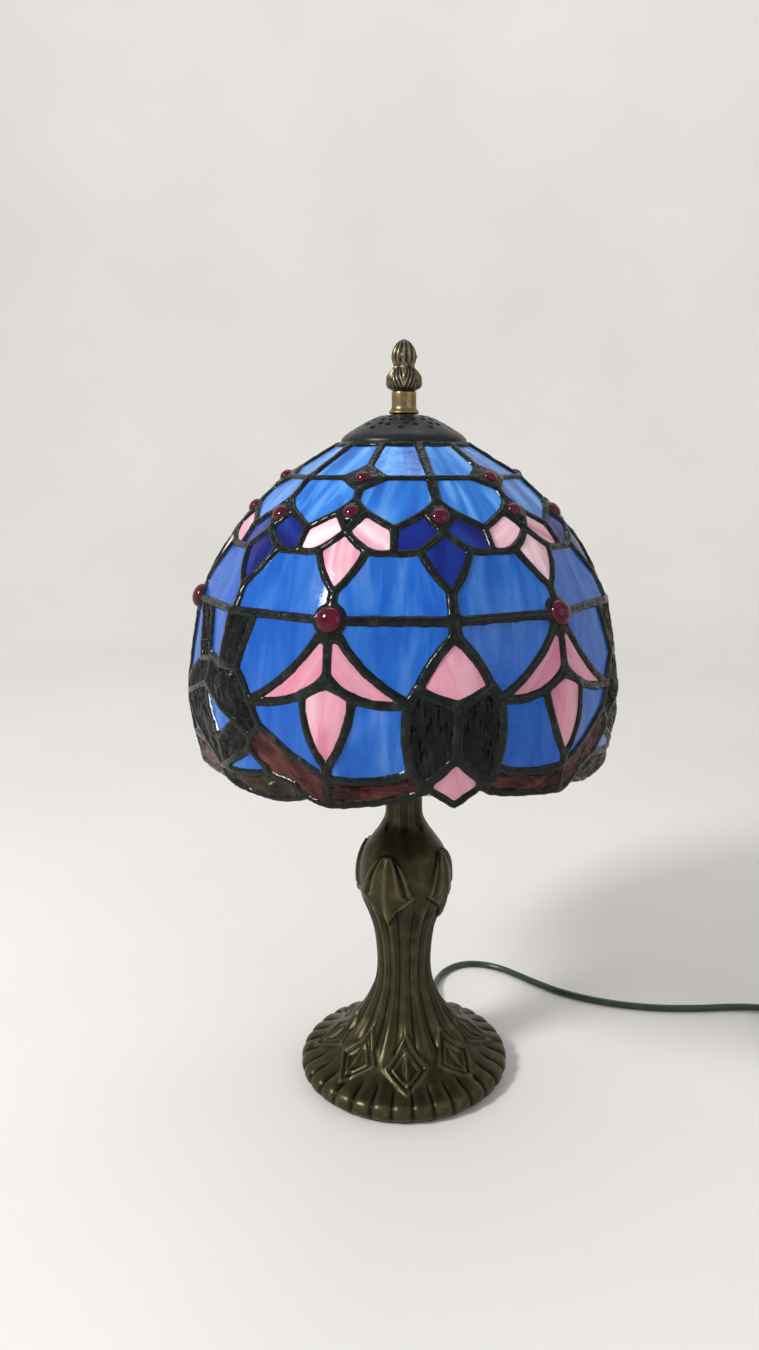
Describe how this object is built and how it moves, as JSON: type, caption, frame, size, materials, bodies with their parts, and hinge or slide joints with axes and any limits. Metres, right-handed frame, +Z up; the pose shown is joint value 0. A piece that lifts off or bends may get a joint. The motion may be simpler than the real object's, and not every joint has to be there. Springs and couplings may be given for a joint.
{
  "type": "stained-glass table lamp",
  "caption": "Small table lamp with a faceted stained-glass dome shade, flame finial, leaf-cast bronze stand, mains lead with in-line switch and plug",
  "frame": {"origin": "on the lamp's axis, at the middle of the felt pad's underside, where the lamp stands", "axes": "+Z up along the stem; -Y is the front; +X is the side the lead runs to"},
  "size_m": [0.3904, 0.2057, 0.3644],
  "materials": {
    "opal_glass": "streaky opalescent glass",
    "jewel_glass": "dark red cabochon glass",
    "solder": "dark patina on solder",
    "gunmetal": "burnished gunmetal",
    "bronze": "antique bronze over cast zinc",
    "antique_brass": "antique brass",
    "steel": "zinc-plated steel",
    "iron": "rough cast iron",
    "felt": "green felt",
    "rubber": "moulded rubber",
    "cord": "dark green moulded vinyl",
    "porcelain": "moulded cream insulator",
    "bulb": "frosted bulb glass",
    "switch": "black moulded plastic"
  },
  "bodies": {
    "lamp": {"centre_contact": "antique_brass", "cord_bush": "rubber", "cord_coil": "cord", "cord_lead": "cord", "cord_link": "cord", "cord_tail": "cord", "felt_pad": "felt", "foot_weight": "iron", "harp_bow": "antique_brass", "harp_saddle": "antique_brass", "harp_stud": "antique_brass", "holder_core": "porcelain", "holder_cup": "antique_brass", "holder_nut": "steel", "holder_shell": "antique_brass", "inner_lead": "cord", "plug_blade_left": "steel", "plug_blade_right": "steel", "plug_body": "cord", "rod_nut": "steel", "rod_washer": "steel", "screw_shell": "antique_brass", "stand_casting": "bronze", "switch_bottom": "switch", "switch_top": "switch", "threaded_rod": "steel"},
    "seat": {"seat_washer": "rubber"},
    "shade": {"glass_gore_1": "opal_glass", "glass_gore_10": "opal_glass", "glass_gore_11": "opal_glass", "glass_gore_12": "opal_glass", "glass_gore_2": "opal_glass", "glass_gore_3": "opal_glass", "glass_gore_4": "opal_glass", "glass_gore_5": "opal_glass", "glass_gore_6": "opal_glass", "glass_gore_7": "opal_glass", "glass_gore_8": "opal_glass", "glass_gore_9": "opal_glass", "large_jewel_1": "jewel_glass", "large_jewel_2": "jewel_glass", "large_jewel_3": "jewel_glass", "large_jewel_4": "jewel_glass", "large_jewel_5": "jewel_glass", "large_jewel_6": "jewel_glass", "small_jewel_1": "jewel_glass", "small_jewel_2": "jewel_glass", "small_jewel_3": "jewel_glass", "small_jewel_4": "jewel_glass", "small_jewel_5": "jewel_glass", "small_jewel_6": "jewel_glass", "solder_work": "solder", "vent_cap": "gunmetal"},
    "finial_neck": {"finial_neck": "antique_brass"},
    "finial_bud": {"finial_bud": "antique_brass"},
    "bulb_base": {"bulb_base": "steel"},
    "bulb_glass": {"bulb_glass": "bulb"},
    "switch_rocker": {"switch_rocker": "switch"}
  },
  "joints": [
    {"name": "shade_lift", "type": "slide", "parent": "lamp", "child": "seat", "axis": [0, 0, 1], "range_m": [0, 0.165]},
    {"name": "shade_turn", "type": "hinge", "parent": "seat", "child": "shade", "pos_m": [0, 0, 0.33], "axis": [0, 0, 1], "continuous": true},
    {"name": "finial_rise", "type": "slide", "parent": "shade", "child": "finial_neck", "axis": [0, 0, 1], "range_m": [0, 0.00564]},
    {"name": "finial_turn", "type": "hinge", "parent": "finial_neck", "child": "finial_bud", "pos_m": [0, 0, 0.341], "axis": [0, 0, 1], "range_deg": [0, 2166]},
    {"name": "bulb_rise", "type": "slide", "parent": "lamp", "child": "bulb_base", "axis": [0, 0, 1], "range_m": [0, 0.0145]},
    {"name": "bulb_turn", "type": "hinge", "parent": "bulb_base", "child": "bulb_glass", "pos_m": [0, 0, 0.205], "axis": [0, 0, 1], "range_deg": [0, 1444]},
    {"name": "switch_rock", "type": "hinge", "parent": "lamp", "child": "switch_rocker", "pos_m": [0.216, 0.002, 0.0106], "axis": [1, 0, 0], "range_deg": [0, 14]}
  ],
  "couplings": [
    {"joint": "finial_turn", "follows": "finial_rise", "rad_per_m": 6684.2},
    {"joint": "bulb_turn", "follows": "bulb_rise", "rad_per_m": 1733.3}
  ]
}
